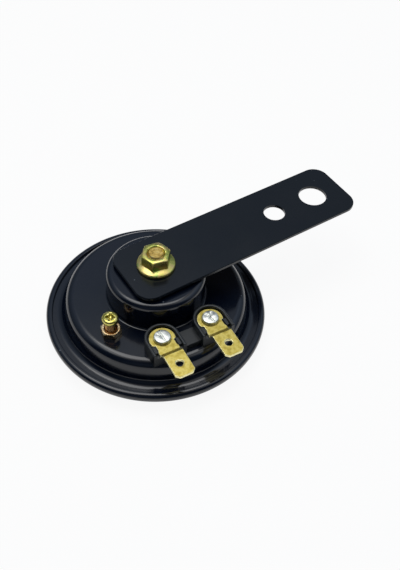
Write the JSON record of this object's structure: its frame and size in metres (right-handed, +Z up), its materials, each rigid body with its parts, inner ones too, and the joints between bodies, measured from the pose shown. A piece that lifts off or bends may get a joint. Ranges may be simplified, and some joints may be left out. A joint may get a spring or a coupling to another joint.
{
  "type": "car horn",
  "caption": "Disc horn with crimped rim, stepped housing, flat strap bracket, lock-nutted adjusting screw and blade terminals on a moulded block.",
  "frame": {"origin": "on the disc's axis, in the plane of the front ring's edge, which the horn rests on", "axes": "+Z up along the disc's axis, from the sounding face to the back; +X along the strap bracket to its two holes"},
  "size_m": [0.1064, 0.0713, 0.0315],
  "materials": {
    "black_paint": "gloss black baked paint on pressed steel",
    "strap_paint": "semi-gloss black paint on flat steel",
    "yellow_zinc": "yellow passivated zinc on steel",
    "stud_zinc": "yellow passivated zinc on a steel stud, bare iron below it",
    "adjuster_zinc": "bright yellow passivated zinc on steel",
    "adjuster_nut_copper": "copper coloured plating on steel",
    "blade_brass": "pressed brass sheet, bright rolled face",
    "washer_brass": "brass washer",
    "screw_silver": "bright nickel on steel",
    "block_plastic": "moulded black phenolic",
    "seat_washer_paint": "black paint on steel",
    "disc_steel": "zinc plated steel",
    "spring_steel": "blued spring steel",
    "magnet_iron": "soft iron, thinly oiled",
    "gasket_paper": "pressed fibre sheet",
    "bobbin_plastic": "natural nylon",
    "coil_enamel": "enamelled copper wire",
    "breaker_brass": "brass strip",
    "breaker_bronze": "phosphor bronze leaf",
    "contact_tungsten": "tungsten contact point",
    "fibre_insulator": "red-brown vulcanised fibre",
    "pad_fibre": "brown laminated phenolic",
    "rivet_steel": "zinc plated steel"
  },
  "bodies": {
    "horn": {"front_ring": "black_paint", "rear_housing": "black_paint", "front_gasket": "gasket_paper", "rear_gasket": "gasket_paper", "diaphragm": "spring_steel", "pole": "stud_zinc", "coil_bobbin": "bobbin_plastic", "coil_winding": "coil_enamel", "strap_seat_washer": "seat_washer_paint", "strap_bracket": "strap_paint", "flange_nut": "yellow_zinc", "adjusting_screw": "adjuster_zinc", "adjuster_nut": "adjuster_nut_copper", "breaker_base": "disc_steel", "breaker_insulator": "fibre_insulator", "breaker_spacer": "fibre_insulator", "contact_leaf": "breaker_bronze", "contact_arm": "breaker_brass", "moving_contact": "contact_tungsten", "fixed_contact": "contact_tungsten", "breaker_rivets": "rivet_steel", "terminal_block": "block_plastic", "terminal_left": "blade_brass", "terminal_right": "blade_brass", "terminal_screw_left": "screw_silver", "terminal_screw_right": "screw_silver", "terminal_washer_left": "washer_brass", "terminal_washer_right": "washer_brass", "inner_insulator": "fibre_insulator", "terminal_nut_left": "rivet_steel", "terminal_nut_right": "rivet_steel"},
    "sounder": {"armature": "magnet_iron", "armature_pad": "pad_fibre", "armature_washer": "disc_steel", "disc_washer": "disc_steel", "tone_disc": "disc_steel", "tone_disc_nut": "disc_steel"}
  },
  "joints": [
    {"name": "sounding_travel", "type": "slide", "parent": "horn", "child": "sounder", "axis": [0, 0, 1], "range_m": [-0.0003, 0.0004], "stiffness_N_per_m": 50000, "deforming": ["diaphragm", "contact_leaf"]}
  ]
}
